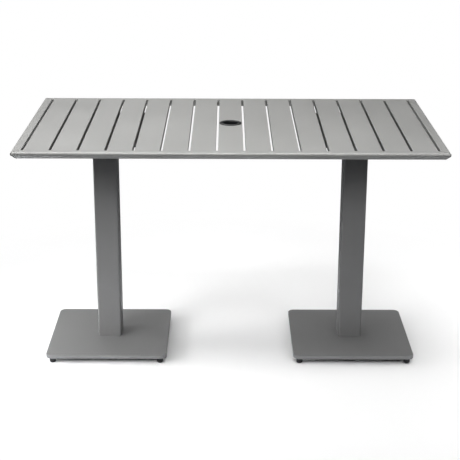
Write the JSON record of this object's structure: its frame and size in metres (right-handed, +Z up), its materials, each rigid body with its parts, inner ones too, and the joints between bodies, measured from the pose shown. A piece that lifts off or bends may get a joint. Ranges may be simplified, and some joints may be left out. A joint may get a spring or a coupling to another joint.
{
  "type": "patio dining table",
  "caption": "Rectangular slatted metal dining table with a ringed umbrella hole, standing on square columns with flat square base plates and screw-in levelling glides.",
  "frame": {"origin": "on the floor, under the centre of the tabletop", "axes": "+X along the length of the table, +Z up, and the picture looks along +Y"},
  "size_m": [1.27, 0.716, 0.7485],
  "materials": {
    "top_powder_coat": "light silver-grey satin powder coat on aluminium extrusion",
    "base_powder_coat": "silver-grey fine-textured powder coat on steel",
    "ring_plastic": "moulded black plastic, slight gloss",
    "glide_plastic": "moulded black nylon",
    "zinc_steel": "bright zinc plate",
    "bare_steel": "mill-finish steel, welded in before coating"
  },
  "bodies": {
    "root": {"slat_01": "top_powder_coat", "slat_02": "top_powder_coat", "slat_03": "top_powder_coat", "slat_04": "top_powder_coat", "slat_05": "top_powder_coat", "slat_06": "top_powder_coat", "slat_07": "top_powder_coat", "slat_08": "top_powder_coat", "slat_09": "top_powder_coat", "slat_10": "top_powder_coat", "slat_11": "top_powder_coat", "slat_12": "top_powder_coat", "slat_13": "top_powder_coat", "slat_14": "top_powder_coat", "slat_15": "top_powder_coat", "front_rail": "top_powder_coat", "back_rail": "top_powder_coat", "left_end_rail": "top_powder_coat", "right_end_rail": "top_powder_coat", "umbrella_ring": "ring_plastic", "left_mounting_plate": "base_powder_coat", "left_mounting_screws": "zinc_steel", "left_rivet_nuts": "zinc_steel", "left_column": "base_powder_coat", "left_column_foot": "bare_steel", "left_base_plate": "base_powder_coat", "left_base_screws": "zinc_steel", "right_mounting_plate": "base_powder_coat", "right_mounting_screws": "zinc_steel", "right_rivet_nuts": "zinc_steel", "right_column": "base_powder_coat", "right_column_foot": "bare_steel", "right_base_plate": "base_powder_coat", "right_base_screws": "zinc_steel"},
    "left_pad_front_left": {"left_pad_front_left": "glide_plastic"},
    "left_stud_front_left": {"left_stud_front_left": "zinc_steel"},
    "left_pad_front_right": {"left_pad_front_right": "glide_plastic"},
    "left_stud_front_right": {"left_stud_front_right": "zinc_steel"},
    "left_pad_back_left": {"left_pad_back_left": "glide_plastic"},
    "left_stud_back_left": {"left_stud_back_left": "zinc_steel"},
    "left_pad_back_right": {"left_pad_back_right": "glide_plastic"},
    "left_stud_back_right": {"left_stud_back_right": "zinc_steel"},
    "right_pad_front_left": {"right_pad_front_left": "glide_plastic"},
    "right_stud_front_left": {"right_stud_front_left": "zinc_steel"},
    "right_pad_front_right": {"right_pad_front_right": "glide_plastic"},
    "right_stud_front_right": {"right_stud_front_right": "zinc_steel"},
    "right_pad_back_left": {"right_pad_back_left": "glide_plastic"},
    "right_stud_back_left": {"right_stud_back_left": "zinc_steel"},
    "right_pad_back_right": {"right_pad_back_right": "glide_plastic"},
    "right_stud_back_right": {"right_stud_back_right": "zinc_steel"}
  },
  "joints": [
    {"name": "left_front_left_lift", "type": "slide", "parent": "root", "child": "left_pad_front_left", "axis": [0, 0, -1], "range_m": [0, 0.004]},
    {"name": "left_front_left_turn", "type": "hinge", "parent": "left_pad_front_left", "child": "left_stud_front_left", "pos_m": [-0.5685, -0.1725, 0.02], "axis": [0, 0, -1], "range_deg": [0, 1152]},
    {"name": "left_front_right_lift", "type": "slide", "parent": "root", "child": "left_pad_front_right", "axis": [0, 0, -1], "range_m": [0, 0.004]},
    {"name": "left_front_right_turn", "type": "hinge", "parent": "left_pad_front_right", "child": "left_stud_front_right", "pos_m": [-0.2235, -0.1725, 0.02], "axis": [0, 0, -1], "range_deg": [0, 1152]},
    {"name": "left_back_left_lift", "type": "slide", "parent": "root", "child": "left_pad_back_left", "axis": [0, 0, -1], "range_m": [0, 0.004]},
    {"name": "left_back_left_turn", "type": "hinge", "parent": "left_pad_back_left", "child": "left_stud_back_left", "pos_m": [-0.5685, 0.1725, 0.02], "axis": [0, 0, -1], "range_deg": [0, 1152]},
    {"name": "left_back_right_lift", "type": "slide", "parent": "root", "child": "left_pad_back_right", "axis": [0, 0, -1], "range_m": [0, 0.004]},
    {"name": "left_back_right_turn", "type": "hinge", "parent": "left_pad_back_right", "child": "left_stud_back_right", "pos_m": [-0.2235, 0.1725, 0.02], "axis": [0, 0, -1], "range_deg": [0, 1152]},
    {"name": "right_front_left_lift", "type": "slide", "parent": "root", "child": "right_pad_front_left", "axis": [0, 0, -1], "range_m": [0, 0.004]},
    {"name": "right_front_left_turn", "type": "hinge", "parent": "right_pad_front_left", "child": "right_stud_front_left", "pos_m": [0.2235, -0.1725, 0.02], "axis": [0, 0, -1], "range_deg": [0, 1152]},
    {"name": "right_front_right_lift", "type": "slide", "parent": "root", "child": "right_pad_front_right", "axis": [0, 0, -1], "range_m": [0, 0.004]},
    {"name": "right_front_right_turn", "type": "hinge", "parent": "right_pad_front_right", "child": "right_stud_front_right", "pos_m": [0.5685, -0.1725, 0.02], "axis": [0, 0, -1], "range_deg": [0, 1152]},
    {"name": "right_back_left_lift", "type": "slide", "parent": "root", "child": "right_pad_back_left", "axis": [0, 0, -1], "range_m": [0, 0.004]},
    {"name": "right_back_left_turn", "type": "hinge", "parent": "right_pad_back_left", "child": "right_stud_back_left", "pos_m": [0.2235, 0.1725, 0.02], "axis": [0, 0, -1], "range_deg": [0, 1152]},
    {"name": "right_back_right_lift", "type": "slide", "parent": "root", "child": "right_pad_back_right", "axis": [0, 0, -1], "range_m": [0, 0.004]},
    {"name": "right_back_right_turn", "type": "hinge", "parent": "right_pad_back_right", "child": "right_stud_back_right", "pos_m": [0.5685, 0.1725, 0.02], "axis": [0, 0, -1], "range_deg": [0, 1152]}
  ],
  "couplings": [
    {"joint": "left_front_left_turn", "follows": "left_front_left_lift", "rad_per_m": 5026.5},
    {"joint": "left_front_right_turn", "follows": "left_front_right_lift", "rad_per_m": 5026.5},
    {"joint": "left_back_left_turn", "follows": "left_back_left_lift", "rad_per_m": 5026.5},
    {"joint": "left_back_right_turn", "follows": "left_back_right_lift", "rad_per_m": 5026.5},
    {"joint": "right_front_left_turn", "follows": "right_front_left_lift", "rad_per_m": 5026.5},
    {"joint": "right_front_right_turn", "follows": "right_front_right_lift", "rad_per_m": 5026.5},
    {"joint": "right_back_left_turn", "follows": "right_back_left_lift", "rad_per_m": 5026.5},
    {"joint": "right_back_right_turn", "follows": "right_back_right_lift", "rad_per_m": 5026.5}
  ]
}
